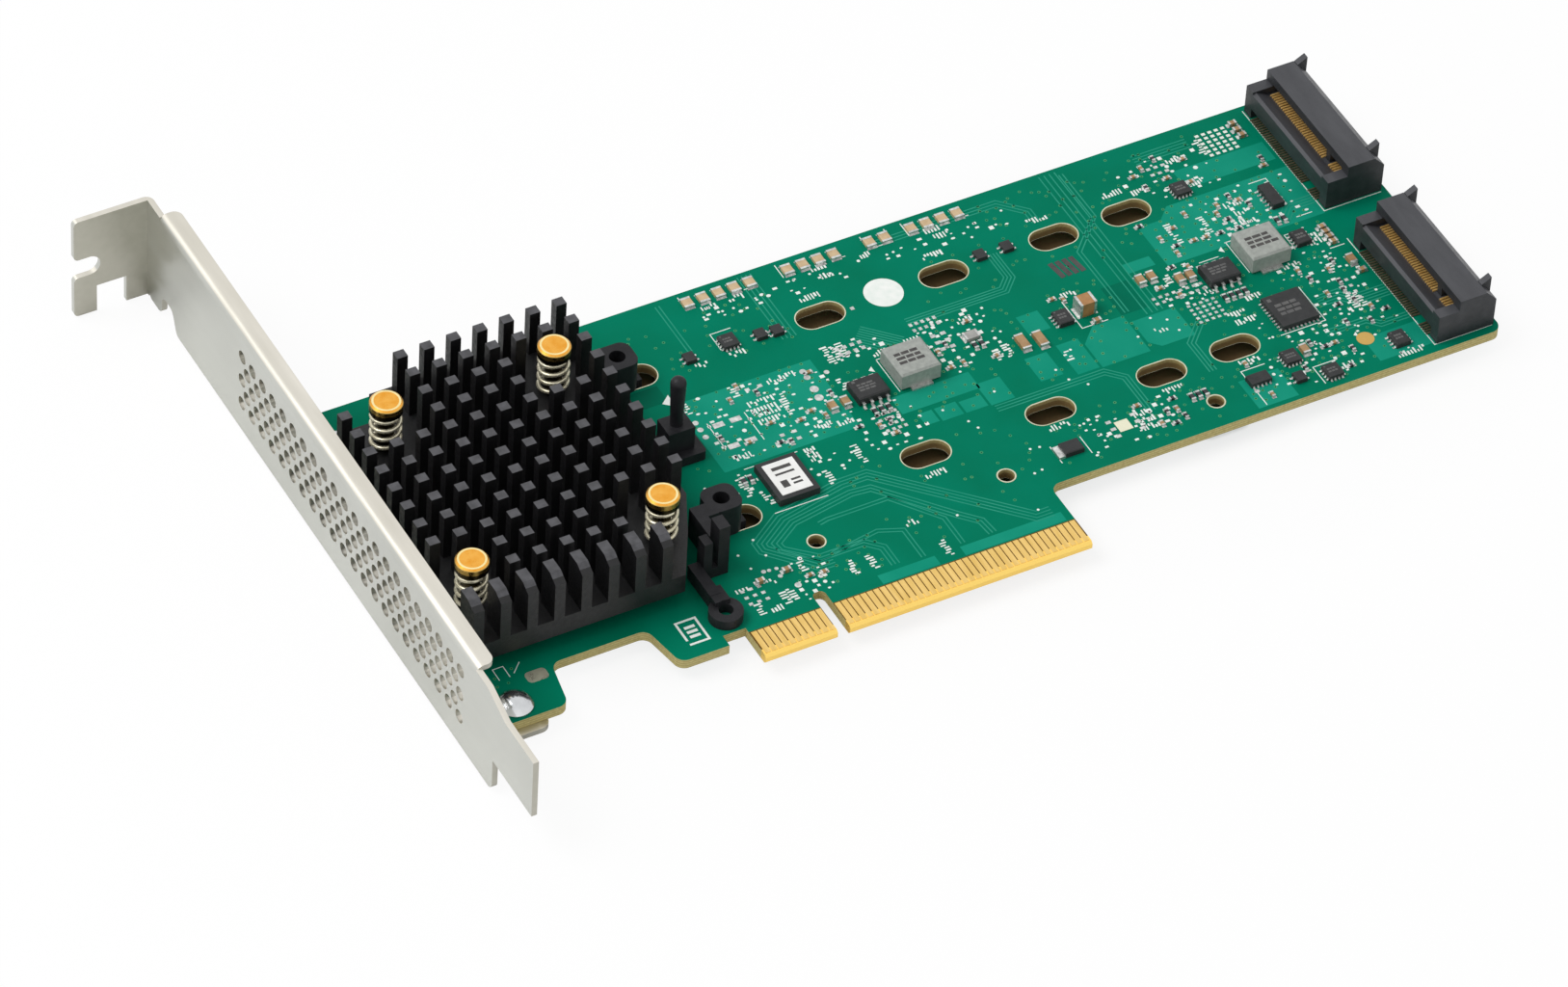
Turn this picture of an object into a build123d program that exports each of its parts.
"""Raid controller card: half-height board, full-height bracket, two drive sockets.

Millimetres. Origin: centre of the key notch, on the bottom edge of the contact
fingers, half way through the board. +X runs from the bracket to the drive
sockets, +Y from the fingers to the top edge, +Z out of the component side.
"""
import os
from build123d import *

os.makedirs("parts", exist_ok=True)

TOLERANCE = 0.01             # for picking edges and corners by their place

# Board
BOARD_T = 1.57
BOARD_HEIGHT = 68.9
KEY_TO_BRACKET_END = 54.47
KEY_TO_FAR_END = 113.18
FAR_EDGE_Y = 12.23           # bottom edge of the board beyond the fingers
FOOT_Y = 3.65                # bottom edge of the foot beside the bracket
FOOT_LENGTH = 13.9
RECESS_Y = 11.5              # ceiling of the recess between foot and hook
RECESS_SLANT = 1.4
RECESS_LENGTH = 16.0
HOOK_BOTTOM_Y = 4.0
HOOK_GAP = 3.5               # between the hook and the finger tongue
HOOK_GAP_TOP_Y = 6.0
CORNER_R = 1.6

TOP = BOARD_T / 2            # component face
BOTTOM = -BOARD_T / 2        # solder face
LEFT = -KEY_TO_BRACKET_END

# Contact fingers
PAD_PITCH = 1.0
PAD_W = 0.84
PAD_BOTTOM_Y = 0.55
PAD_TOP_Y = 4.9
PLATING_T = 0.05
KEY_W = 1.9
KEY_DEPTH = 8.0
PADS_BEFORE_KEY = 11
PADS_AFTER_KEY = 38
KEY_TO_PAD = 1.5             # key centre to the nearest pad on either side
TONGUE_MARGIN = 0.65         # outermost pad centre to the side of the tongue
TONGUE_BEVEL = 0.4

TONGUE_LEFT = -(KEY_TO_PAD + (PADS_BEFORE_KEY - 1) * PAD_PITCH + TONGUE_MARGIN)
TONGUE_RIGHT = KEY_TO_PAD + (PADS_AFTER_KEY - 1) * PAD_PITCH + TONGUE_MARGIN
HOOK_RIGHT_X = TONGUE_LEFT - HOOK_GAP

# Drive sockets
SOCKET_DEPTH = 9.4
SOCKET_L = 23.2
SOCKET_END_GAP = 0.78        # back of a socket to the far end of the board
SOCKET_GAP = 7.9             # between the two sockets
SOCKETS_ABOVE_MIDDLE = 0.185  # middle of the pair above the middle of the board's far edge
SOCKET_END_WALL = 1.8
HOOD_FRONT = 3.3             # hood edge behind the front face
HOOD_BACK_FALL = 1.7
JAW_H = 3.7                  # top of the lower jaw
SLOT_GAP = 1.6
SLOT_BACK_WALL = 2.6
HOOD_T = 1.5
SHOULDER_DROP = 1.8          # end shoulders below the top of the hood
RAIL_D = 0.5
LEAD_IN_DEPTH = 2.2
LEAD_IN_DROP = 1.1
LEAD_IN_FACE = 0.3           # bevel on the lip of the lead-in
TAIL_POCKET_H = 1.0
TAIL_POCKET_DEPTH = 1.3
TAIL_POCKET_SLOPE = 0.8
HORN_L = 1.6
HORN_H = 0.9
HORN_W = 1.0
HORN_ROOT = 1.0              # how far a horn runs down into its end wall
KEY_OFFSET = 6.125           # key rib from the centre of the socket
KEY_RIB_W = 1.1
CONTACT_PITCH = 0.5
CONTACT_W = 0.28
CONTACT_T = 0.2
CONTACT_END_GAP = 0.55       # outermost contact to the end wall
CONTACT_SETBACK = 0.05       # contacts start behind the lead-in
CONTACT_BACK_GAP = 0.4       # contacts end before the back wall
TAIL_L = 1.4
TAIL_T = 0.18
TAIL_PROUD = 0.35

SOCKET_FRONT_X = KEY_TO_FAR_END - SOCKET_END_GAP - SOCKET_DEPTH
SOCKET_H = JAW_H + SLOT_GAP + HOOD_T
SHOULDER_H = SOCKET_H - SHOULDER_DROP
SLOT_DEPTH = SOCKET_DEPTH - SLOT_BACK_WALL
CONTACT_START = RAIL_D + LEAD_IN_DEPTH + CONTACT_SETBACK
CONTACT_L = SLOT_DEPTH - CONTACT_START - CONTACT_BACK_GAP
ROWS_MIDDLE_Y = (FAR_EDGE_Y + BOARD_HEIGHT) / 2 + SOCKETS_ABOVE_MIDDLE
LOWER_ROW_Y = ROWS_MIDDLE_Y - (SOCKET_L + SOCKET_GAP) / 2
UPPER_ROW_Y = ROWS_MIDDLE_Y + (SOCKET_L + SOCKET_GAP) / 2
ROW_Y = (LOWER_ROW_Y, UPPER_ROW_Y)       # centre lines of the two drives

# Standoff slots, one pair for each length of drive
STANDOFF_L = 7.4
STANDOFF_W = 4.3
RING_W = 0.15
SEAT_TO_STANDOFF = 3.6       # drive datum in the socket, past its front face
DRIVE_LENGTHS = (110, 80, 60, 42, 30)
STANDOFF_X = [SOCKET_FRONT_X + SEAT_TO_STANDOFF - length for length in DRIVE_LENGTHS]

TOOLING_D = 2.4
TOOLING_RING_W = 0.2
TOOLING_AHEAD = ((98.4, 16.6), (68.3, 16.6), (34.3, 16.9))   # ahead of the sockets, height

# Drive supports
RING_BLOCK = (5.2, 5.0)
RING_BLOCK_H = 5.3
RING_BORE_D = 2.4
RING_BLOCK_R = 1.6
RING_FLOOR = 1.2             # left under the bore
RING_TO_STANDOFF = 2.6       # bore centre ahead of the longest drive's slot
SNAP_W = 2.4
SNAP_L = 3.2
SNAP_REACH = 0.9             # below the solder face
SNAP_CENTRE = 1.9            # from the bore centre towards the slot
SNAP_ROOT = 0.5              # how far the leg runs up into its block
POST_FROM_RING = (1.1, 15.7)
POST_D = 1.8
POST_TIP_D = 2.3
POST_TOP = 14.4
POST_BLOCK = (4.1, 3.6)
POST_BLOCK_H = 5.6
POST_FOOT = (5.6, 4.6)
POST_FOOT_H = 1.6
POST_FOOT_SHIFT = (0.6, 0.8)
POST_FOOT_R = 0.5
SPINE_W = 1.7
SPINE_H = 2.4
WALL_T = 1.7
WALL_L = 8.7                 # ahead of the ring's centre line
WALL_FROM_RING = 3.3         # right face of the wall to the bore centre
WEB_TO_BORE = 0.4            # what joins a ring block stops this short of its bore
WALL_PEAK_H = 9.0
WALL_PEAK_D = 2.5
BAR_H = 1.8
BAR_D = 1.5
LEG_W = 1.3
LEG_D = 2.0
LEG_H = 6.8
LEG_FROM_RING = 7.2          # left face of the leg to the bore centre
ARM_W = 1.7
ARM_UNDER_SINK = 0.1
FOOT_FROM_RING = (7.7, 16.3)
FOOT_RING_D = 4.9
FOOT_BORE_D = 2.1
FOOT_RING_H = 1.6
FOOT_BLOCK = (2.3, 3.0)
FOOT_BLOCK_H = 2.4

RING_X = STANDOFF_X[0] - RING_TO_STANDOFF
SPINE_X = RING_X - RING_BLOCK[0] / 2
WALL_X = RING_X - WALL_FROM_RING - WALL_T
WALL_FRONT_Y = LOWER_ROW_Y - WALL_L
WEB_L = WALL_T + WALL_FROM_RING - RING_BORE_D / 2 - WEB_TO_BORE
SPINE_L = POST_FROM_RING[1] + POST_BLOCK[1] / 2 - RING_BORE_D / 2 - WEB_TO_BORE
LEG_X = RING_X - LEG_FROM_RING
ARM_X = LEG_X - ARM_W
UPPER_RING = (RING_X, UPPER_ROW_Y)
LOWER_RING = (RING_X, LOWER_ROW_Y)
POST_AT = (RING_X + POST_FROM_RING[0], UPPER_ROW_Y - POST_FROM_RING[1])
FOOT_RING = (RING_X - FOOT_FROM_RING[0], LOWER_ROW_Y - FOOT_FROM_RING[1])

# Bracket
SHEET_T = 0.86
BEND_R = 0.4
BRACKET_L = 120.02
BRACKET_W = 18.42
BRACKET_GAP = 0.53           # board edge to the inner face of the plate
BRACKET_END_Y = -15.02       # lower end of the bracket, in its slot
TAB_DEPTH = 11.43
TAB_CORNER_R = 0.8
EDGE_SETBACK = 0.4           # plate edge behind the lip face where no lip is
LIP_DEPTH = 3.0
LIP_CORNER_R = 1.3
LIP_START = 4.8              # measured down the plate from the tab
LIP_TO_END = 17.02
LIP_TO_SHOULDER = 3.5
SHOULDER_TO_END = 8.22
TONGUE_L = 11.42
TONGUE_W = 10.19
TONGUE_INSET = 2.4
PLATE_CORNER_R = 1.2
PLATE_PAST_EARS = 0.79
RELIEF_START = 5.6
RELIEF_W = 4.8
RELIEF_DEPTH = 3.6
RELIEF_SLANT = 1.5
SCREW_NOTCH_W = 3.4
SCREW_NOTCH_DEPTH = 4.1
SCREW_NOTCH_AT = 9.4         # below the lip face
FORK_W = 4.6
FORK_DEPTH = 4.8
FORK_R = 1.0
FORK_FROM_PLATE = 5.6
VENT_D = 2.1
VENT_PITCH = 3.2
VENT_ROW_PITCH = 2.2
VENT_ROWS = 5
VENT_START = 31.45           # first hole, down the plate from the tab
VENT_END_MARGIN = 4.0        # left at the lower end of the lip
VENT_FIRST_ROW = 4.5         # first row, below the lip face
EAR_W = 8.4
EAR_PAST_RIVET = 3.6
EAR_R = 1.5
EAR_ROOT = 4.0

RIVET_HEAD_D = 5.2
RIVET_HEAD_H = 1.7
RIVET_FLANGE_T = 0.35
RIVET_SHANK_D = 2.9
RIVET_TAIL_D = 4.2
RIVET_TAIL_H = 0.7
RIVET_HOLE_CLEARANCE = 0.15
RIVET_INSET_X = 7.27         # from the board's end
RIVET_INSET_Y = 6.6          # from the top edge, and up from the finger edge

PLATE_IN = LEFT - BRACKET_GAP
PLATE_OUT = PLATE_IN - SHEET_T
PLATE_LOW_Z = BOTTOM - SHEET_T - PLATE_PAST_EARS
TAB_Y = BRACKET_END_Y + BRACKET_L        # outer face of the tab
LIP_Z = PLATE_LOW_Z + BRACKET_W
BEND_OUT = BEND_R + SHEET_T
LIP_END = BRACKET_L - LIP_TO_END
SHOULDER = BRACKET_L - SHOULDER_TO_END
TONGUE_START = BRACKET_L - TONGUE_L
VENT_COLUMNS = int((LIP_END - VENT_END_MARGIN - VENT_START) / VENT_PITCH) + 1
RIVET_X = LEFT + RIVET_INSET_X
RIVETS = ((RIVET_X, RIVET_INSET_Y), (RIVET_X, BOARD_HEIGHT - RIVET_INSET_Y))
RIVET_HOLE_D = RIVET_SHANK_D + RIVET_HOLE_CLEARANCE
EAR_END_X = RIVET_X + EAR_PAST_RIVET

# Heat sink
STACK_H = 2.6                # board to the underside of the heat sink
SINK_BASE_T = 3.2
SINK_PIN_H = 7.6
SINK_FROM_END = 4.17         # left edge to the board's end
SINK_FROM_SPINE = 1.6        # right edge to the upper drive support
SINK_FROM_RECESS = 2.1       # front edge to the recess in the board
SINK_FROM_TOP = 4.9          # back edge to the board's top edge
SINK_EDGE = 0.1              # outermost pins to the sides of the base
SINK_PIN_X = 1.62
SINK_PIN_Y = 1.5
SINK_PITCH_X = 4.12
SINK_PITCH_Y = 3.85
FIN_DEPTH = 4.0
FIN_TO_PINS = 1.6
FIN_CHAMFER_Y = 1.7
FIN_CHAMFER_Z = 1.0
NOTCH_CLEAR_X = 3.7          # sides of the notch to the upper rivet's head
NOTCH_CLEAR_Y = 0.9
FRONT_CUT_X = (7.4, 3.2)     # front corner cut, in from the right edge
FRONT_CUT_LOW = 4.2          # its knee and its end, from the lower drive's centre line
FRONT_CUT_HIGH = 2.4
BACK_PINS_IN = (6.9, 7.2)    # push pins, in from the left and right edges
FRONT_PINS_IN = (3.7, 7.2)
BACK_PINS_DOWN = 10.1
FRONT_PINS_UP = 7.8
POCKET_CLEAR = 0.315         # round a push-pin head, to the nearest sink pins

SINK_Z = TOP + STACK_H
SINK_FLOOR_Z = SINK_Z + SINK_BASE_T
SINK_TOP_Z = SINK_FLOOR_Z + SINK_PIN_H
SINK_LEFT = LEFT + SINK_FROM_END
SINK_RIGHT = SPINE_X - SINK_FROM_SPINE
SINK_FRONT = RECESS_Y + SINK_FROM_RECESS
SINK_BACK = BOARD_HEIGHT - SINK_FROM_TOP
NOTCH_X = RIVET_X + RIVET_HEAD_D / 2 + NOTCH_CLEAR_X
NOTCH_Y = RIVETS[1][1] - RIVET_HEAD_D / 2 - NOTCH_CLEAR_Y
PUSH_PINS = (
    (SINK_LEFT + BACK_PINS_IN[0], SINK_BACK - BACK_PINS_DOWN),
    (SINK_RIGHT - BACK_PINS_IN[1], SINK_BACK - BACK_PINS_DOWN),
    (SINK_LEFT + FRONT_PINS_IN[0], SINK_FRONT + FRONT_PINS_UP),
    (SINK_RIGHT - FRONT_PINS_IN[1], SINK_FRONT + FRONT_PINS_UP),
)

PUSH_HEAD_D = 4.75
PUSH_HEAD_H = 1.8
PUSH_HEAD_RISE = 1.0         # top of the head above the heat sink pins
PUSH_RIM = 0.28
PUSH_SHANK_D = 2.5
PUSH_FIT = 0.3               # diametral play of the shank in its holes
BARB_PROUD = 0.6             # barb past the shank, all round
BARB_L = 2.2
BARB_LAND = 0.3
BARB_TIP_D = 1.8
BARB_GAP = 0.25
BARB_SPLIT = 0.6
SPRING_INSET = 0.05          # spring smaller than the head, across both
SPRING_WIRE = 0.65
SPRING_PITCH = 1.6
SPRING_PLAY = 0.04

PUSH_TOP_Z = SINK_TOP_Z + PUSH_HEAD_RISE
PUSH_UNDER_Z = PUSH_TOP_Z - PUSH_HEAD_H
PUSH_HOLE_D = PUSH_SHANK_D + PUSH_FIT
BARB_D = PUSH_SHANK_D + 2 * BARB_PROUD
SPRING_D = PUSH_HEAD_D - SPRING_INSET
PIN_KEEPOUT = PUSH_HEAD_D / 2 + SINK_PIN_X / 2 + POCKET_CLEAR

# Controller
SUBSTRATE_SIDE = 24.0
SUBSTRATE_T = 1.2
LID_EDGE = 1.5               # substrate left bare round the lid
LID_CORNER_R = 1.0
PAD_EDGE = 0.5               # lid left bare round the thermal pad
PAD_T = 0.25

CHIP_CENTRE = ((SINK_LEFT + SINK_RIGHT) / 2, (SINK_FRONT + SINK_BACK) / 2)
CHIP_LID_SIDE = SUBSTRATE_SIDE - 2 * LID_EDGE
CHIP_LID_T = STACK_H - SUBSTRATE_T - PAD_T
PAD_SIDE = CHIP_LID_SIDE - 2 * PAD_EDGE

# Board parts. Places are (distance ahead of the sockets, height on the board).
SEAT_Z = TOP + PLATING_T
ARM_H = STACK_H - PLATING_T - ARM_UNDER_SINK

INDUCTOR_SIDE = 6.3
INDUCTOR_H = 3.0
INDUCTOR_BEVEL = 0.3
INDUCTORS = ((70.3, 40.9), (13.4, 40.4))
TERMINAL_W = 3.4
TERMINAL_REACH = 0.7
TERMINAL_UNDER = 1.4
TERMINAL_T = 0.3

POWER_CHIP = (4.9, 3.9)
POWER_CHIP_H = 1.5
POWER_CHIP_BEVEL = 0.2
POWER_CHIPS = ((77.8, 39.5), (21.0, 39.0))
LEAD_PITCH = 1.27
LEAD_W = 0.42
LEAD_T = 0.2
LEAD_REACH = 1.05
LEAD_KNEE = 0.37
LEADS_PER_SIDE = 4
LEAD_RISE = 0.75
STANDOFF = 0.1

DRIVE_CHIP = (6.0, 6.4)
DRIVE_CHIP_H = 0.9
DRIVE_CHIPS = ((15.5, 28.4),)

FLASH = (6.3, 7.8)
FLASH_H = 1.2
FLASH_CHIPS = ((96.6, 28.6),)
LABEL_EDGE = 0.75            # chip left bare round its label
LABEL_T = 0.1

SWITCH_CHIP = (1.9, 4.6)
SWITCH_CHIP_H = 1.0
SWITCH_CHIPS = ((6.0, 50.0),)

REGULATOR = (2.3, 2.8)
REGULATOR_H = 0.9
REGULATOR_BEVEL = 0.12
REGULATORS = ((45.7, 40.7), (6.6, 40.6), (4.5, 16.5))

LOGIC = (2.4, 2.5)
LOGIC_H = 0.8
LOGIC_CHIPS = ((90.9, 56.8), (17.1, 56.9), (16.5, 14.8), (20.5, 19.8))

BRIDGE_CHIP = (3.3, 1.9)
BRIDGE_CHIP_H = 0.8
BRIDGE_CHIPS = ((26.8, 17.9),)

TRANSISTOR = (1.6, 1.8)
TRANSISTOR_H = 0.7
TRANSISTORS = ((97.4, 56.2), (86.1, 56.2), (83.6, 55.9), (45.7, 57.1), (50.0, 57.2),
               (21.3, 15.8))

SENSOR = (2.2, 1.5)
SENSOR_H = 0.6
SENSORS = ((59.2, 43.2),)

CLOCK = (3.0, 2.3)
CLOCK_H = 0.9
CLOCK_BEVEL = 0.12
CLOCKS = ((57.6, 17.2),)
CLOCK_END_L = 1.0
CLOCK_END_H = 0.45

EDGE_CAP = (1.5, 1.9)
EDGE_CAP_H = 0.5
EDGE_CAP_DOWN = 2.5          # below the board's top edge
EDGE_CAP_PITCH = 2.5
EDGE_CAP_GROUPS = ((92.4, 5), (76.3, 4), (63.0, 2), (56.2, 4))   # first one, count

BULK_CAP = (2.6, 2.2)
BULK_CAP_H = 2.4
BULK_CAPS = ((42.0, 41.0),)

SMALL_CAP = (1.2, 0.7)
SMALL_CAP_H = 0.6
SMALL_CAPS = ((41.5, 38.3), (1.9, 31.2), (2.6, 41.4), (2.6, 40.3), (2.6, 39.2), (2.6, 38.1),
              (109.2, 12.9), (104.9, 13.3))
TOP_CAPS = ((3.2, 2.9), (3.2, 4.3), (3.1, 5.6), (109.4, 2.7), (111.6, 2.3))   # ahead, below the top edge

UPRIGHT_CAP = (1.1, 1.8)
UPRIGHT_CAP_H = 0.7
UPRIGHT_CAPS = ((83.8, 39.0), (81.7, 39.0), (31.8, 42.8), (30.0, 42.8), (26.5, 40.7),
                (24.8, 40.7), (17.8, 20.4), (2.2, 33.7))

RESISTOR = (0.6, 1.3)
RESISTOR_H = 0.4
RESISTOR_PITCH = 1.1
RESISTOR_GROUPS = ((78.8, 35.6, 3), (59.6, 41.3, 2), (22.5, 34.6, 4), (7.6, 45.4, 2),
                   (37.0, 19.0, 3), (102.0, 31.2, 2))

FILTER = (1.3, 3.0)
FILTER_H = 0.7
FILTERS = ((53.3, 38.8), (50.7, 38.3))

ROUND_PAD_D = 2.6
ROUND_PADS = ((8.6, 18.9),)
SQUARE_PAD = 2.1
SQUARE_PADS = ((48.5, 18.3),)
OVAL_PAD = (3.2, 2.1)
OVAL_PAD_R = 0.7
OVAL_PAD_IN = (12.47, 10.3)  # from the bracket end, height
GRID_PAD = (0.6, 0.5)
GRID_PITCH = (1.07, 0.88)
GRID_PADS = (5, 6)
GRID_PADS_IN = (6.95, 5.1)   # ahead of the sockets, below the top edge


def save(part, name):
    """Label a finished piece and write it under its own name."""
    part.label = name
    export_step(part, f"parts/{name}.step")


def ahead(places):
    """Places on the board, from distances ahead of the sockets' front faces."""
    return [(SOCKET_FRONT_X - distance, y) for distance, y in places]


def pad_centres():
    """Centre X of every contact pad, both sides of the key notch."""
    before = [-KEY_TO_PAD - i * PAD_PITCH for i in range(PADS_BEFORE_KEY)]
    after = [KEY_TO_PAD + i * PAD_PITCH for i in range(PADS_AFTER_KEY)]
    return before + after


# Circuit board
recess_left = LEFT + FOOT_LENGTH
recess_right = recess_left + RECESS_LENGTH
outline = [
    (LEFT, FOOT_Y),
    (recess_left, FOOT_Y),
    (recess_left + RECESS_SLANT, RECESS_Y),
    (recess_right, RECESS_Y),
    (recess_right + RECESS_SLANT, HOOK_BOTTOM_Y),
    (HOOK_RIGHT_X, HOOK_BOTTOM_Y),
    (HOOK_RIGHT_X, HOOK_GAP_TOP_Y),
    (TONGUE_LEFT, HOOK_GAP_TOP_Y),
    (TONGUE_LEFT, 0),
    (TONGUE_RIGHT, 0),
    (TONGUE_RIGHT, FAR_EDGE_Y),
    (KEY_TO_FAR_END, FAR_EDGE_Y),
    (KEY_TO_FAR_END, BOARD_HEIGHT),
    (LEFT, BOARD_HEIGHT),
]


def is_free_corner(vertex):
    """Outline corners that are rounded: all but those of the finger tongue."""
    beside_fingers = vertex.X > HOOK_RIGHT_X - TOLERANCE
    return not (beside_fingers and vertex.Y < FAR_EDGE_Y - TOLERANCE)


with BuildPart() as circuit_board:
    with BuildSketch(Plane.XY.offset(BOTTOM)) as board_outline:
        with BuildLine():
            Polyline(*outline, close=True)
        make_face()
        fillet(board_outline.vertices().filter_by(is_free_corner), CORNER_R)
        with Locations((0, KEY_DEPTH - KEY_W / 2)):
            Circle(KEY_W / 2, mode=Mode.SUBTRACT)
        with Locations((0, 0)):
            Rectangle(KEY_W, KEY_DEPTH - KEY_W / 2, align=(Align.CENTER, Align.MIN), mode=Mode.SUBTRACT)
        with Locations(*[(x, y) for x in STANDOFF_X for y in ROW_Y]):
            SlotOverall(STANDOFF_L, STANDOFF_W, mode=Mode.SUBTRACT)
        with Locations(*ahead(TOOLING_AHEAD)):
            Circle(TOOLING_D / 2, mode=Mode.SUBTRACT)
        with Locations(*PUSH_PINS):
            Circle(PUSH_HOLE_D / 2, mode=Mode.SUBTRACT)
        with Locations(*RIVETS):
            Circle(RIVET_HOLE_D / 2, mode=Mode.SUBTRACT)
    extrude(amount=BOARD_T)
    tongue_edges = (circuit_board.edges().filter_by(Axis.X)
                    .filter_by_position(Axis.Y, -TOLERANCE, TOLERANCE))
    chamfer(tongue_edges, TONGUE_BEVEL)
save(circuit_board.part, "circuit_board")

# Contact fingers
pad_mid_y = (PAD_BOTTOM_Y + PAD_TOP_Y) / 2
with BuildPart() as contact_fingers:
    for face_z, up in ((TOP, 1), (BOTTOM, -1)):
        with BuildSketch(Plane.XY.offset(face_z)):
            with Locations(*[(x, pad_mid_y) for x in pad_centres()]):
                Rectangle(PAD_W, PAD_TOP_Y - PAD_BOTTOM_Y)
        extrude(amount=up * PLATING_T)
save(contact_fingers.part, "contact_fingers")

# Plated rings
with BuildPart() as plated_rings:
    for face_z, up in ((TOP, 1), (BOTTOM, -1)):
        with BuildSketch(Plane.XY.offset(face_z)):
            with Locations(*[(x, y) for x in STANDOFF_X for y in ROW_Y]):
                SlotOverall(STANDOFF_L + 2 * RING_W, STANDOFF_W + 2 * RING_W)
                SlotOverall(STANDOFF_L, STANDOFF_W, mode=Mode.SUBTRACT)
            with Locations(*ahead(TOOLING_AHEAD)):
                Circle(TOOLING_D / 2 + TOOLING_RING_W)
                Circle(TOOLING_D / 2, mode=Mode.SUBTRACT)
        extrude(amount=up * PLATING_T)
save(plated_rings.part, "plated_rings")

# Bracket
def down(distance):
    """Y of a point this far down the plate from the tab's outer face."""
    return TAB_Y - distance


def below(distance):
    """Z of a point this far below the lip's outer face."""
    return LIP_Z - distance


plate_points = [
    (down(BEND_OUT), below(EDGE_SETBACK)),
    (down(LIP_START), below(EDGE_SETBACK)),
    (down(LIP_START), below(BEND_OUT)),
    (down(LIP_END), below(BEND_OUT)),
    (down(LIP_END), below(EDGE_SETBACK)),
    (down(LIP_END + LIP_TO_SHOULDER), below(EDGE_SETBACK)),
    (down(SHOULDER), below(TONGUE_INSET)),
    (down(BRACKET_L), below(TONGUE_INSET)),
    (down(BRACKET_L), below(TONGUE_INSET + TONGUE_W)),
    (down(TONGUE_START), below(TONGUE_INSET + TONGUE_W)),
    (down(TONGUE_START), below(BRACKET_W)),
    (down(RELIEF_START + RELIEF_W), below(BRACKET_W)),
    (down(RELIEF_START + RELIEF_W - RELIEF_SLANT), below(BRACKET_W - RELIEF_DEPTH)),
    (down(RELIEF_START), below(BRACKET_W - RELIEF_DEPTH)),
    (down(RELIEF_START), below(BRACKET_W)),
    (down(BEND_OUT), below(BRACKET_W)),
]
vents = [
    (down(VENT_START + (column + 0.5 * (row % 2)) * VENT_PITCH),
     below(VENT_FIRST_ROW + row * VENT_ROW_PITCH))
    for row in range(VENT_ROWS) for column in range(VENT_COLUMNS - row % 2)
]


def on_lower_plate(vertex):
    """Corners of the plate that are rounded: those of its lower end and relief."""
    return vertex.Y < down(LIP_END) - TOLERANCE or vertex.Z < PLATE_LOW_Z + TOLERANCE


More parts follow.
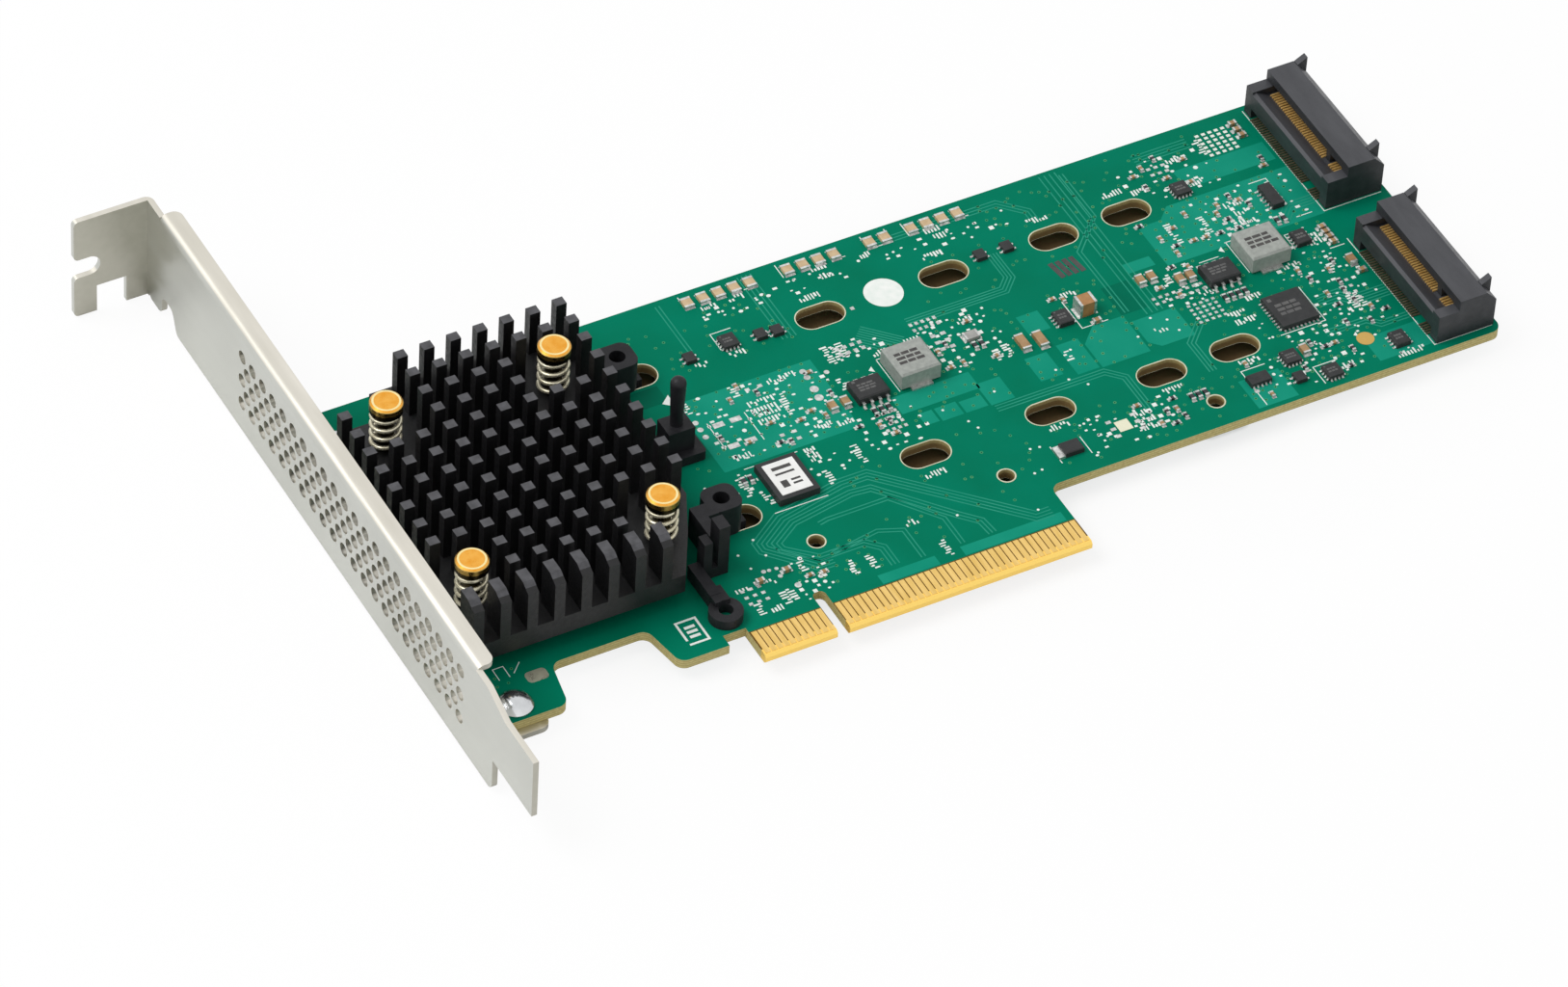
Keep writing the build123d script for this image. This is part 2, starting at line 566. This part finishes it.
with BuildPart() as io_bracket:
    with BuildSketch(Plane.YZ.offset(PLATE_OUT)) as plate_outline:
        with BuildLine():
            Polyline(*plate_points, close=True)
        make_face()
        fillet(plate_outline.vertices().filter_by(on_lower_plate), PLATE_CORNER_R)
        with Locations(*vents):
            Circle(VENT_D / 2, mode=Mode.SUBTRACT)
    extrude(amount=SHEET_T)
    # lip, turned over the heat sink
    with BuildSketch(Plane.XZ.offset(-down(LIP_START))) as lip_section:
        with BuildLine():
            Polyline((PLATE_OUT, LIP_Z), (PLATE_OUT + LIP_DEPTH, LIP_Z),
                     (PLATE_OUT + LIP_DEPTH, LIP_Z - SHEET_T), (PLATE_IN, LIP_Z - SHEET_T),
                     (PLATE_IN, LIP_Z - BEND_OUT), (PLATE_OUT, LIP_Z - BEND_OUT), close=True)
        make_face()
        lip_bend = lip_section.vertices().group_by(Axis.X)[0].sort_by(Axis.Y)[-1]
        fillet(lip_bend, BEND_OUT - TOLERANCE)
    extrude(amount=LIP_END - LIP_START)
    lip_x = PLATE_OUT + LIP_DEPTH
    lip_corners = (io_bracket.edges().filter_by(Axis.Z)
                   .filter_by_position(Axis.X, lip_x - TOLERANCE, lip_x + TOLERANCE))
    fillet(lip_corners, LIP_CORNER_R)
    # tab, turned outwards at the top end
    with BuildSketch(Plane.XY.offset(PLATE_LOW_Z)) as tab_section:
        with BuildLine():
            Polyline((PLATE_OUT - TAB_DEPTH, TAB_Y), (PLATE_IN, TAB_Y),
                     (PLATE_IN, TAB_Y - BEND_OUT), (PLATE_OUT, TAB_Y - BEND_OUT),
                     (PLATE_OUT, TAB_Y - SHEET_T), (PLATE_OUT - TAB_DEPTH, TAB_Y - SHEET_T), close=True)
        make_face()
        tab_bend = tab_section.vertices().group_by(Axis.X)[-1].sort_by(Axis.Y)[-1]
        fillet(tab_bend, BEND_OUT - TOLERANCE)
    extrude(amount=BRACKET_W - EDGE_SETBACK)
    with BuildSketch(Plane.XZ.offset(-TAB_Y)) as tab_cuts:
        with Locations((PLATE_OUT - TAB_DEPTH + SCREW_NOTCH_DEPTH - SCREW_NOTCH_W / 2,
                        below(SCREW_NOTCH_AT))):
            Circle(SCREW_NOTCH_W / 2)
            Rectangle(SCREW_NOTCH_DEPTH, SCREW_NOTCH_W, align=(Align.MAX, Align.CENTER))
        with Locations((PLATE_OUT - FORK_FROM_PLATE, PLATE_LOW_Z)):
            Rectangle(FORK_W, FORK_DEPTH, align=(Align.CENTER, Align.MIN))
        fillet(tab_cuts.vertices().group_by(Axis.Y)[-1], FORK_R)
    extrude(amount=SHEET_T, mode=Mode.SUBTRACT)
    tab_x = PLATE_OUT - TAB_DEPTH
    tab_corners = (io_bracket.edges().filter_by(Axis.Y)
                   .filter_by_position(Axis.X, tab_x - TOLERANCE, tab_x + TOLERANCE))
    fillet(tab_corners, TAB_CORNER_R)
    # ears under the board, which take the rivets
    with BuildSketch(Plane.XY.offset(BOTTOM)) as ears:
        with Locations(*[(EAR_END_X, y) for _, y in RIVETS]):
            RectangleRounded(EAR_END_X - PLATE_OUT, EAR_W, EAR_R, align=(Align.MAX, Align.CENTER))
        with Locations(*[(PLATE_OUT, y) for _, y in RIVETS]):
            Rectangle(EAR_ROOT, EAR_W, align=(Align.MIN, Align.CENTER))
        with Locations(*RIVETS):
            Circle(RIVET_HOLE_D / 2, mode=Mode.SUBTRACT)
    extrude(amount=-SHEET_T)
save(io_bracket.part, "io_bracket")

with BuildPart() as bracket_rivets:
    for x, y in RIVETS:
        with BuildSketch(Plane.XZ.offset(-y)) as rivet_section:
            with BuildLine():
                rim = (x + RIVET_HEAD_D / 2, TOP + RIVET_FLANGE_T)
                crown = (x, TOP + RIVET_HEAD_H)
                Polyline(crown, (x, BOTTOM - SHEET_T - RIVET_TAIL_H),
                         (x + RIVET_TAIL_D / 2, BOTTOM - SHEET_T - RIVET_TAIL_H),
                         (x + RIVET_TAIL_D / 2, BOTTOM - SHEET_T),
                         (x + RIVET_SHANK_D / 2, BOTTOM - SHEET_T),
                         (x + RIVET_SHANK_D / 2, TOP), (x + RIVET_HEAD_D / 2, TOP), rim)
                TangentArc(crown, rim, tangent=(1, 0))
            make_face()
        revolve(axis=Axis((x, y, 0), (0, 0, 1)))
save(bracket_rivets.part, "bracket_rivets")

# Controller and heat sink
with BuildPart() as controller_substrate:
    with BuildSketch(Plane.XY.offset(TOP)):
        with Locations(CHIP_CENTRE):
            Rectangle(SUBSTRATE_SIDE, SUBSTRATE_SIDE)
    extrude(amount=SUBSTRATE_T)
save(controller_substrate.part, "controller_substrate")

with BuildPart() as controller_lid:
    with BuildSketch(Plane.XY.offset(TOP + SUBSTRATE_T)):
        with Locations(CHIP_CENTRE):
            RectangleRounded(CHIP_LID_SIDE, CHIP_LID_SIDE, LID_CORNER_R)
    extrude(amount=CHIP_LID_T)
save(controller_lid.part, "controller_lid")

with BuildPart() as thermal_pad:
    with BuildSketch(Plane.XY.offset(SINK_Z - PAD_T)):
        with Locations(CHIP_CENTRE):
            Rectangle(PAD_SIDE, PAD_SIDE)
    extrude(amount=PAD_T)
save(thermal_pad.part, "thermal_pad")

front_cut = [
    (SINK_RIGHT - FRONT_CUT_X[0], SINK_FRONT),
    (SINK_RIGHT - FRONT_CUT_X[1], LOWER_ROW_Y - FRONT_CUT_LOW),
    (SINK_RIGHT, LOWER_ROW_Y + FRONT_CUT_HIGH),
]
sink_outline = [(SINK_LEFT, SINK_FRONT), *front_cut, (SINK_RIGHT, SINK_BACK),
                (NOTCH_X, SINK_BACK), (NOTCH_X, NOTCH_Y), (SINK_LEFT, NOTCH_Y)]


def right_edge(y):
    """X of the base's right edge at this Y, along the cut front corner."""
    for (x0, y0), (x1, y1) in zip(front_cut, front_cut[1:]):
        if y0 <= y <= y1:
            return x0 + (x1 - x0) * (y - y0) / (y1 - y0)
    return SINK_RIGHT


def has_room(x, y):
    """True where a pin stands wholly on the base and clear of the push pins."""
    clear = all(max(abs(x - px), abs(y - py)) > PIN_KEEPOUT for px, py in PUSH_PINS)
    in_notch = x - SINK_PIN_X / 2 < NOTCH_X and y + SINK_PIN_Y / 2 > NOTCH_Y
    on_base = x + SINK_PIN_X / 2 < right_edge(y - SINK_PIN_Y / 2)
    return clear and on_base and not in_notch


first_pin_x = SINK_LEFT + SINK_EDGE + SINK_PIN_X / 2
first_pin_y = SINK_FRONT + FIN_DEPTH + FIN_TO_PINS + SINK_PIN_Y / 2
column_count = int((SINK_RIGHT - SINK_EDGE - SINK_PIN_X / 2 - first_pin_x) / SINK_PITCH_X) + 1
row_count = int((SINK_BACK - SINK_EDGE - SINK_PIN_Y / 2 - first_pin_y) / SINK_PITCH_Y) + 1
pin_columns = [first_pin_x + i * SINK_PITCH_X for i in range(column_count)]
pin_rows = [first_pin_y + j * SINK_PITCH_Y for j in range(row_count)]
pin_places = [(x, y) for x in pin_columns for y in pin_rows if has_room(x, y)]
fin_columns = [x for x in pin_columns if x + SINK_PIN_X / 2 < right_edge(SINK_FRONT)]

with BuildPart() as heat_sink:
    with BuildSketch(Plane.XY.offset(SINK_Z)):
        with BuildLine():
            Polyline(*sink_outline, close=True)
        make_face()
        with Locations(*PUSH_PINS):
            Circle(PUSH_HOLE_D / 2, mode=Mode.SUBTRACT)
    extrude(amount=SINK_BASE_T)
    with BuildSketch(Plane.XY.offset(SINK_FLOOR_Z)):
        with Locations(*pin_places):
            Rectangle(SINK_PIN_X, SINK_PIN_Y)
    extrude(amount=SINK_PIN_H)
    # the front row is a comb of deeper fins with sloped tops
    fin_back_y = SINK_FRONT + FIN_DEPTH
    for x in fin_columns:
        with BuildSketch(Plane.YZ.offset(x - SINK_PIN_X / 2)):
            with BuildLine():
                Polyline((SINK_FRONT, SINK_FLOOR_Z), (fin_back_y, SINK_FLOOR_Z),
                         (fin_back_y, SINK_TOP_Z), (SINK_FRONT + FIN_CHAMFER_Y, SINK_TOP_Z),
                         (SINK_FRONT, SINK_TOP_Z - FIN_CHAMFER_Z), close=True)
            make_face()
        extrude(amount=SINK_PIN_X)
save(heat_sink.part, "heat_sink")

with BuildPart() as push_pins:
    for x, y in PUSH_PINS:
        with BuildSketch(Plane.XZ.offset(-y)):
            with BuildLine():
                barb_top = BOTTOM - BARB_GAP
                Polyline((x, PUSH_TOP_Z), (x + PUSH_HEAD_D / 2 - PUSH_RIM, PUSH_TOP_Z),
                         (x + PUSH_HEAD_D / 2, PUSH_TOP_Z - PUSH_RIM),
                         (x + PUSH_HEAD_D / 2, PUSH_UNDER_Z),
                         (x + PUSH_SHANK_D / 2, PUSH_UNDER_Z), (x + PUSH_SHANK_D / 2, barb_top),
                         (x + BARB_D / 2, barb_top), (x + BARB_D / 2, barb_top - BARB_LAND),
                         (x + BARB_TIP_D / 2, BOTTOM - BARB_L), (x, BOTTOM - BARB_L), close=True)
            make_face()
        revolve(axis=Axis((x, y, 0), (0, 0, 1)))
    with BuildSketch(Plane.XY.offset(BOTTOM - BARB_L)):
        with Locations(*PUSH_PINS):
            Rectangle(BARB_SPLIT, 2 * BARB_D)
    extrude(amount=BARB_L, mode=Mode.SUBTRACT)
save(push_pins.part, "push_pins")

spring_low_z = SINK_FLOOR_Z + SPRING_WIRE / 2 + SPRING_PLAY
spring_rise = PUSH_UNDER_Z - SINK_FLOOR_Z - SPRING_WIRE - 2 * SPRING_PLAY
with BuildPart() as one_spring:
    with BuildLine() as coil:
        Helix(pitch=SPRING_PITCH, height=spring_rise, radius=(SPRING_D - SPRING_WIRE) / 2,
              center=(0, 0, spring_low_z))
    with BuildSketch(Plane(origin=coil.line @ 0, z_dir=coil.line % 0)):
        Circle(SPRING_WIRE / 2)
    sweep(path=coil.line, is_frenet=True)

with BuildPart() as push_pin_springs:
    with Locations(*PUSH_PINS):
        add(one_spring.part)
save(push_pin_springs.part, "push_pin_springs")

# Drive sockets
def socket_section(front_x, floor_z):
    """Side profile of the housing between its end walls, in X and Z."""
    rear_x = front_x + SOCKET_DEPTH
    hood_x = front_x + HOOD_FRONT
    jaw_x = front_x + RAIL_D + LEAD_IN_DEPTH
    jaw_z = floor_z + JAW_H
    return [
        (front_x + TAIL_POCKET_DEPTH, floor_z),
        (front_x + TAIL_POCKET_DEPTH, floor_z + TAIL_POCKET_H),
        (front_x, floor_z + TAIL_POCKET_H + TAIL_POCKET_SLOPE),
        (front_x, jaw_z + LEAD_IN_DROP - LEAD_IN_FACE),
        (front_x + RAIL_D, jaw_z + LEAD_IN_DROP),
        (jaw_x, jaw_z),
        (front_x + SLOT_DEPTH, jaw_z),
        (front_x + SLOT_DEPTH, jaw_z + SLOT_GAP),
        (hood_x, jaw_z + SLOT_GAP),
        (hood_x, floor_z + SOCKET_H),
        (rear_x - HOOD_BACK_FALL, floor_z + SOCKET_H),
        (rear_x, floor_z + SHOULDER_H),
        (rear_x, floor_z),
    ]


def end_wall_section(front_x, floor_z):
    """Side profile of an end wall: a shoulder that steps up to the hood."""
    rear_x = front_x + SOCKET_DEPTH
    hood_x = front_x + HOOD_FRONT
    return [
        (front_x, floor_z), (front_x, floor_z + SHOULDER_H),
        (hood_x, floor_z + SHOULDER_H), (hood_x, floor_z + SOCKET_H),
        (rear_x - HOOD_BACK_FALL, floor_z + SOCKET_H),
        (rear_x, floor_z + SHOULDER_H), (rear_x, floor_z),
    ]


def contact_places(centre_y):
    """Y of every contact in one socket, leaving out those at the key rib."""
    span = SOCKET_L - 2 * (SOCKET_END_WALL + CONTACT_END_GAP)
    count = round(span / CONTACT_PITCH) + 1
    rows = [centre_y + (i - (count - 1) / 2) * CONTACT_PITCH for i in range(count)]
    key_y = centre_y - KEY_OFFSET
    return [y for y in rows if abs(y - key_y) > KEY_RIB_W / 2 + CONTACT_W]


def drive_socket(centre_y, name):
    """One edge-card socket, its mouth towards the bracket."""
    high_y = centre_y + SOCKET_L / 2
    low_y = centre_y - SOCKET_L / 2
    front_x = SOCKET_FRONT_X
    with BuildPart() as socket:
        with BuildSketch(Plane.XZ.offset(-high_y)):
            with BuildLine():
                Polyline(*socket_section(front_x, TOP), close=True)
            make_face()
        extrude(amount=SOCKET_L)
        for wall_y in (high_y, low_y + SOCKET_END_WALL):
            with BuildSketch(Plane.XZ.offset(-wall_y)):
                with BuildLine():
                    Polyline(*end_wall_section(front_x, TOP), close=True)
                make_face()
            extrude(amount=SOCKET_END_WALL)
        # key rib across the slot
        with BuildSketch(Plane.XY.offset(TOP + JAW_H)):
            with Locations((front_x + HOOD_FRONT, centre_y - KEY_OFFSET)):
                Rectangle(SLOT_DEPTH - HOOD_FRONT, KEY_RIB_W, align=(Align.MIN, Align.CENTER))
        extrude(amount=SLOT_GAP)
        # pointed horns on the rear corners
        rear_x = front_x + SOCKET_DEPTH
        horn_z = TOP + SHOULDER_H - HORN_ROOT
        for horn_y in (high_y, low_y + HORN_W + SOCKET_END_WALL):
            with BuildSketch(Plane.XZ.offset(-horn_y)):
                with BuildLine():
                    Polyline((rear_x - HORN_L, horn_z), (rear_x, horn_z),
                             (rear_x, TOP + SOCKET_H + HORN_H),
                             (rear_x - HORN_L, TOP + SOCKET_H), close=True)
                make_face()
            extrude(amount=HORN_W)
    save(socket.part, f"{name}_drive_socket")


def drive_contacts(centre_y, name):
    """Gold contact beams on the lower jaw and solder tails along the front foot."""
    with BuildPart() as contacts:
        with BuildSketch(Plane.XY.offset(TOP + JAW_H)):
            with Locations(*[(SOCKET_FRONT_X + CONTACT_START, y) for y in contact_places(centre_y)]):
                Rectangle(CONTACT_L, CONTACT_W, align=(Align.MIN, Align.CENTER))
        extrude(amount=CONTACT_T)
        with BuildSketch(Plane.XY.offset(TOP)):
            with Locations(*[(SOCKET_FRONT_X - TAIL_PROUD, y) for y in contact_places(centre_y)]):
                Rectangle(TAIL_L, CONTACT_W, align=(Align.MIN, Align.CENTER))
        extrude(amount=TAIL_T)
    save(contacts.part, f"{name}_socket_contacts")


for row_y, row_name in zip(ROW_Y, ("lower", "upper")):
    drive_socket(row_y, row_name)
    drive_contacts(row_y, row_name)

# Drive supports
def ring_block(centre):
    """Bored block that carries the end of a drive, with its snap-in leg."""
    x, y = centre
    with BuildPart() as bored_block:
        with BuildSketch(Plane.XY.offset(SEAT_Z)) as block:
            with Locations((x, y)):
                Rectangle(*RING_BLOCK)
            fillet(block.vertices(), RING_BLOCK_R)
        extrude(amount=RING_BLOCK_H)
        # leg through the standoff slot
        with BuildSketch(Plane.XY.offset(BOTTOM - SNAP_REACH)):
            with Locations((x + SNAP_CENTRE, y)):
                Rectangle(SNAP_L, SNAP_W)
        extrude(amount=SEAT_Z - BOTTOM + SNAP_REACH + SNAP_ROOT)
        with BuildSketch(Plane.XY.offset(SEAT_Z + RING_FLOOR)):
            with Locations((x, y)):
                Circle(RING_BORE_D / 2)
        extrude(amount=RING_BLOCK_H, mode=Mode.SUBTRACT)
    return bored_block.part


upper_block = ring_block(UPPER_RING)
with BuildPart() as upper_drive_support:
    add(upper_block)
    with BuildSketch(Plane.XY.offset(SEAT_Z)):
        with Locations((SPINE_X, POST_AT[1] - POST_BLOCK[1] / 2)):
            Rectangle(SPINE_W, SPINE_L, align=(Align.MIN, Align.MIN))
    extrude(amount=SPINE_H)
    with BuildSketch(Plane.XY.offset(SEAT_Z)) as post_foot:
        with Locations((POST_AT[0] + POST_FOOT_SHIFT[0], POST_AT[1] - POST_FOOT_SHIFT[1])):
            Rectangle(*POST_FOOT)
        fillet(post_foot.vertices(), POST_FOOT_R)
    extrude(amount=POST_FOOT_H)
    with BuildSketch(Plane.XY.offset(SEAT_Z)):
        with Locations(POST_AT):
            Rectangle(*POST_BLOCK)
    extrude(amount=POST_BLOCK_H)
    # round-topped post, thicker at its tip
    with BuildSketch(Plane.XZ.offset(-POST_AT[1])):
        with BuildLine():
            x0, tip_z = POST_AT[0], SEAT_Z + POST_TOP
            shoulder_z = tip_z - POST_TIP_D / 2
            Polyline((x0, tip_z), (x0, SEAT_Z + POST_BLOCK_H), (x0 + POST_D / 2, SEAT_Z + POST_BLOCK_H),
                     (x0 + POST_TIP_D / 2, shoulder_z))
            RadiusArc((x0 + POST_TIP_D / 2, shoulder_z), (x0, tip_z), -POST_TIP_D / 2)
        make_face()
    revolve(axis=Axis((POST_AT[0], POST_AT[1], 0), (0, 0, 1)))
save(upper_drive_support.part, "upper_drive_support")

lower_block = ring_block(LOWER_RING)
with BuildPart() as lower_drive_support:
    add(lower_block)
    with BuildSketch(Plane.XY.offset(SEAT_Z)):
        with Locations((WALL_X, WALL_FRONT_Y)):
            Rectangle(WALL_T, WALL_L, align=(Align.MIN, Align.MIN))
        with Locations((WALL_X, LOWER_ROW_Y - RING_BLOCK[1] / 2)):
            Rectangle(WEB_L, RING_BLOCK[1] / 2, align=(Align.MIN, Align.MIN))
    extrude(amount=RING_BLOCK_H)
    with BuildSketch(Plane.XY.offset(SEAT_Z)):
        with Locations((WALL_X, WALL_FRONT_Y)):
            Rectangle(WALL_T, WALL_PEAK_D, align=(Align.MIN, Align.MIN))
    extrude(amount=WALL_PEAK_H)
    with BuildSketch(Plane.XY.offset(SEAT_Z)):
        with Locations((LEG_X, WALL_FRONT_Y)):
            Rectangle(LEG_FROM_RING - WALL_FROM_RING, BAR_D, align=(Align.MIN, Align.MIN))
    extrude(amount=BAR_H)
    with BuildSketch(Plane.XY.offset(SEAT_Z)):
        with Locations((LEG_X, WALL_FRONT_Y)):
            Rectangle(LEG_W, LEG_D, align=(Align.MIN, Align.MIN))
    extrude(amount=LEG_H)
    # low arm from the frame to the screw foot
    foot_back_y = FOOT_RING[1] + FOOT_RING_D / 2
    with BuildSketch(Plane.XY.offset(SEAT_Z)):
        with Locations((ARM_X, foot_back_y)):
            Rectangle(ARM_W, WALL_FRONT_Y + BAR_D - foot_back_y, align=(Align.MIN, Align.MIN))
        with Locations((ARM_X, WALL_FRONT_Y)):
            Rectangle(ARM_W + LEG_W, BAR_D, align=(Align.MIN, Align.MIN))
    extrude(amount=ARM_H)
    with BuildSketch(Plane.XY.offset(SEAT_Z)):
        with Locations((FOOT_RING[0], foot_back_y)):
            Rectangle(*FOOT_BLOCK)
    extrude(amount=FOOT_BLOCK_H)
    with BuildSketch(Plane.XY.offset(SEAT_Z)):
        with Locations(FOOT_RING):
            Circle(FOOT_RING_D / 2)
    extrude(amount=FOOT_RING_H)
    with BuildSketch(Plane.XY.offset(SEAT_Z)):
        with Locations(FOOT_RING):
            Circle(FOOT_BORE_D / 2)
    extrude(amount=FOOT_BLOCK_H, mode=Mode.SUBTRACT)
save(lower_drive_support.part, "lower_drive_support")

# Board parts
def blocks(places, size, height, name, bevel=0.0, floor_z=TOP):
    """Rectangular bodies of one size, standing on the board at the given places."""
    with BuildPart() as group:
        with BuildSketch(Plane.XY.offset(floor_z)):
            with Locations(*ahead(places)):
                Rectangle(*size)
        extrude(amount=height)
        if bevel:
            chamfer(group.faces().group_by(Axis.Z)[-1].edges(), bevel)
    save(group.part, name)


blocks(INDUCTORS, (INDUCTOR_SIDE, INDUCTOR_SIDE), INDUCTOR_H - TERMINAL_T, "power_inductors",
       bevel=INDUCTOR_BEVEL, floor_z=TOP + TERMINAL_T)

with BuildPart() as inductor_terminals:
    with BuildSketch(Plane.XY.offset(TOP)):
        for x, y in ahead(INDUCTORS):
            for side in (1, -1):
                edge_y = y + side * (INDUCTOR_SIDE / 2 + (TERMINAL_REACH - TERMINAL_UNDER) / 2)
                with Locations((x, edge_y)):
                    Rectangle(TERMINAL_W, TERMINAL_REACH + TERMINAL_UNDER)
    extrude(amount=TERMINAL_T)
save(inductor_terminals.part, "inductor_terminals")

blocks(POWER_CHIPS, POWER_CHIP, POWER_CHIP_H - STANDOFF, "power_chips",
       bevel=POWER_CHIP_BEVEL, floor_z=TOP + STANDOFF)

with BuildPart() as power_chip_leads:
    lead_z = TOP + LEAD_RISE
    for x, y in ahead(POWER_CHIPS):
        for i in range(LEADS_PER_SIDE):
            lead_x = x + (i - (LEADS_PER_SIDE - 1) / 2) * LEAD_PITCH
            for side in (1, -1):
                body_y = y + side * POWER_CHIP[1] / 2
                knee_y = body_y + side * LEAD_KNEE
                bend_y = knee_y + side * LEAD_T
                toe_y = body_y + side * LEAD_REACH
                lead_points = [
                    (body_y, lead_z), (bend_y, lead_z), (bend_y, TOP + LEAD_T), (toe_y, TOP + LEAD_T),
                    (toe_y, TOP), (knee_y, TOP), (knee_y, lead_z - LEAD_T), (body_y, lead_z - LEAD_T),
                ]
                with BuildSketch(Plane.YZ.offset(lead_x - LEAD_W / 2)):
                    with BuildLine():
                        Polyline(*lead_points, close=True)
                    make_face()
                extrude(amount=LEAD_W)
save(power_chip_leads.part, "power_chip_leads")

blocks(DRIVE_CHIPS, DRIVE_CHIP, DRIVE_CHIP_H, "drive_power_controller")
blocks(FLASH_CHIPS, FLASH, FLASH_H, "flash_memory")
label_size = [side - 2 * LABEL_EDGE for side in FLASH]
blocks(FLASH_CHIPS, label_size, LABEL_T, "flash_label", floor_z=TOP + FLASH_H)
blocks(SWITCH_CHIPS, SWITCH_CHIP, SWITCH_CHIP_H, "switch_chip")
blocks(REGULATORS, REGULATOR, REGULATOR_H, "regulator_chips", bevel=REGULATOR_BEVEL)
blocks(LOGIC_CHIPS, LOGIC, LOGIC_H, "logic_chips")
blocks(BRIDGE_CHIPS, BRIDGE_CHIP, BRIDGE_CHIP_H, "bridge_chip")
blocks(SENSORS, SENSOR, SENSOR_H, "temperature_sensor")
blocks(TRANSISTORS, TRANSISTOR, TRANSISTOR_H, "transistors")
blocks(CLOCKS, CLOCK, CLOCK_H, "clock_oscillator", bevel=CLOCK_BEVEL)
clock_ends = [(distance + (CLOCK[0] + CLOCK_END_L) / 2, y) for distance, y in CLOCKS]
blocks(clock_ends, (CLOCK_END_L, CLOCK[1]), CLOCK_END_H, "clock_terminal")

edge_cap_places = [
    (first - i * EDGE_CAP_PITCH, BOARD_HEIGHT - EDGE_CAP_DOWN)
    for first, count in EDGE_CAP_GROUPS for i in range(count)
]
blocks(edge_cap_places, EDGE_CAP, EDGE_CAP_H, "edge_capacitors")
blocks(BULK_CAPS, BULK_CAP, BULK_CAP_H, "bulk_capacitor")
top_cap_places = tuple((distance, BOARD_HEIGHT - drop) for distance, drop in TOP_CAPS)
blocks(SMALL_CAPS + top_cap_places, SMALL_CAP, SMALL_CAP_H, "small_capacitors")
blocks(UPRIGHT_CAPS, UPRIGHT_CAP, UPRIGHT_CAP_H, "upright_capacitors")
resistor_places = [
    (first - i * RESISTOR_PITCH, y) for first, y, count in RESISTOR_GROUPS for i in range(count)
]
blocks(resistor_places, RESISTOR, RESISTOR_H, "resistors")
blocks(FILTERS, FILTER, FILTER_H, "filter_chips")

with BuildPart() as bare_pads:
    with BuildSketch(Plane.XY.offset(TOP)):
        with Locations(*ahead(ROUND_PADS)):
            Circle(ROUND_PAD_D / 2)
        with Locations(*ahead(SQUARE_PADS)):
            Rectangle(SQUARE_PAD, SQUARE_PAD)
        with Locations((LEFT + OVAL_PAD_IN[0], OVAL_PAD_IN[1])):
            RectangleRounded(*OVAL_PAD, OVAL_PAD_R)
        with Locations((SOCKET_FRONT_X - GRID_PADS_IN[0], BOARD_HEIGHT - GRID_PADS_IN[1])):
            with GridLocations(*GRID_PITCH, *GRID_PADS):
                Rectangle(*GRID_PAD)
    extrude(amount=PLATING_T)
save(bare_pads.part, "bare_pads")
